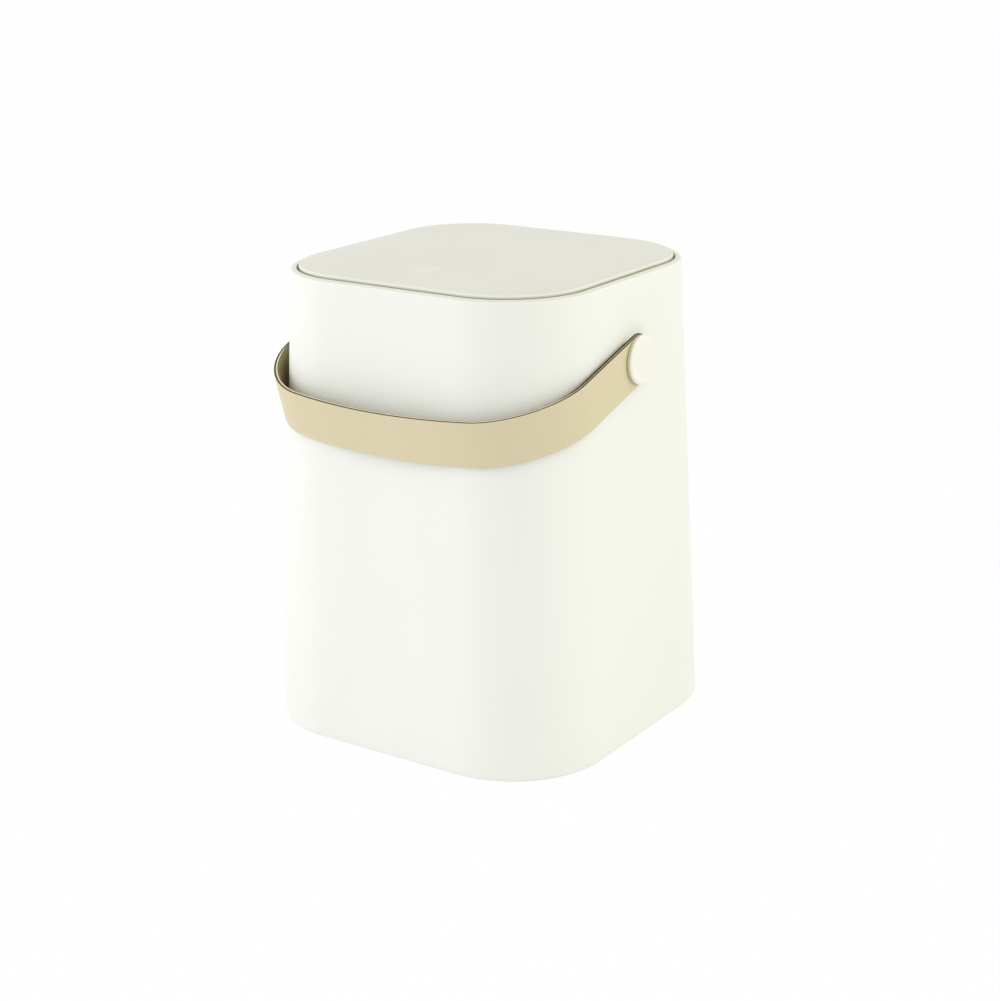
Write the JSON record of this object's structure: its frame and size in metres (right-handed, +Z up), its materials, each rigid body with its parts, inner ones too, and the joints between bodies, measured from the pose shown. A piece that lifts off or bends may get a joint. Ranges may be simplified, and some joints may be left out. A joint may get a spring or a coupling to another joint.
{
  "type": "push top countertop bin",
  "caption": "Tapered rounded-square countertop bin with a touch-open sprung lid, lift-out inner bucket and a flat swing handle on side pivot buttons.",
  "frame": {"origin": "middle of the base ring's underside, on the surface that the bin stands on", "axes": "+Z up, -Y towards the front, where the lid is pushed and the handle rests; the handle pivots along X"},
  "size_m": [0.1596, 0.1647, 0.2054],
  "materials": {
    "body_white": "satin",
    "lid_beige": "satin",
    "band_tan": "satin",
    "button_cream": "satin",
    "bucket_grey": "satin",
    "latch_dark": "satin",
    "base_rubber": "matte",
    "steel": "satin",
    "magnet_nickel": "gloss"
  },
  "bodies": {
    "bin": {"outer_body": "body_white", "base_plate": "body_white", "base_ring": "base_rubber", "base_screws": "steel", "top_frame": "lid_beige", "frame_screws": "steel", "inner_bucket": "bucket_grey", "hinge_pin": "steel", "hinge_spring_left": "steel", "hinge_spring_right": "steel", "latch_housing": "latch_dark", "latch_screws": "steel", "latch_spring": "steel", "latch_follower": "steel", "pivot_button_left": "button_cream", "pivot_button_right": "button_cream", "pivot_washer_left": "steel", "pivot_washer_right": "steel", "pivot_screw_left": "steel", "pivot_screw_right": "steel"},
    "lid": {"lid_shell": "lid_beige", "lid_liner": "lid_beige", "strike_plate": "magnet_nickel", "liner_screws": "steel"},
    "plunger": {"latch_plunger": "button_cream", "latch_magnet": "magnet_nickel"},
    "handle": {"handle_strap": "band_tan"}
  },
  "joints": [
    {"name": "lid_hinge", "type": "hinge", "parent": "bin", "child": "lid", "pos_m": [0, 0.06145, 0.2011], "axis": [-1, 0, 0], "range_deg": [0, 76], "deforming": ["hinge_spring_left", "hinge_spring_right"]},
    {"name": "latch_press", "type": "slide", "parent": "bin", "child": "plunger", "axis": [0, 0, -1], "range_m": [0, 0.0015], "stiffness_N_per_m": 400, "springref_m": -0.0003, "deforming": ["latch_spring"]},
    {"name": "handle_swing", "type": "hinge", "parent": "bin", "child": "handle", "pos_m": [0, 0, 0.1676], "axis": [-1, 0, 0], "range_deg": [0, 213]}
  ]
}
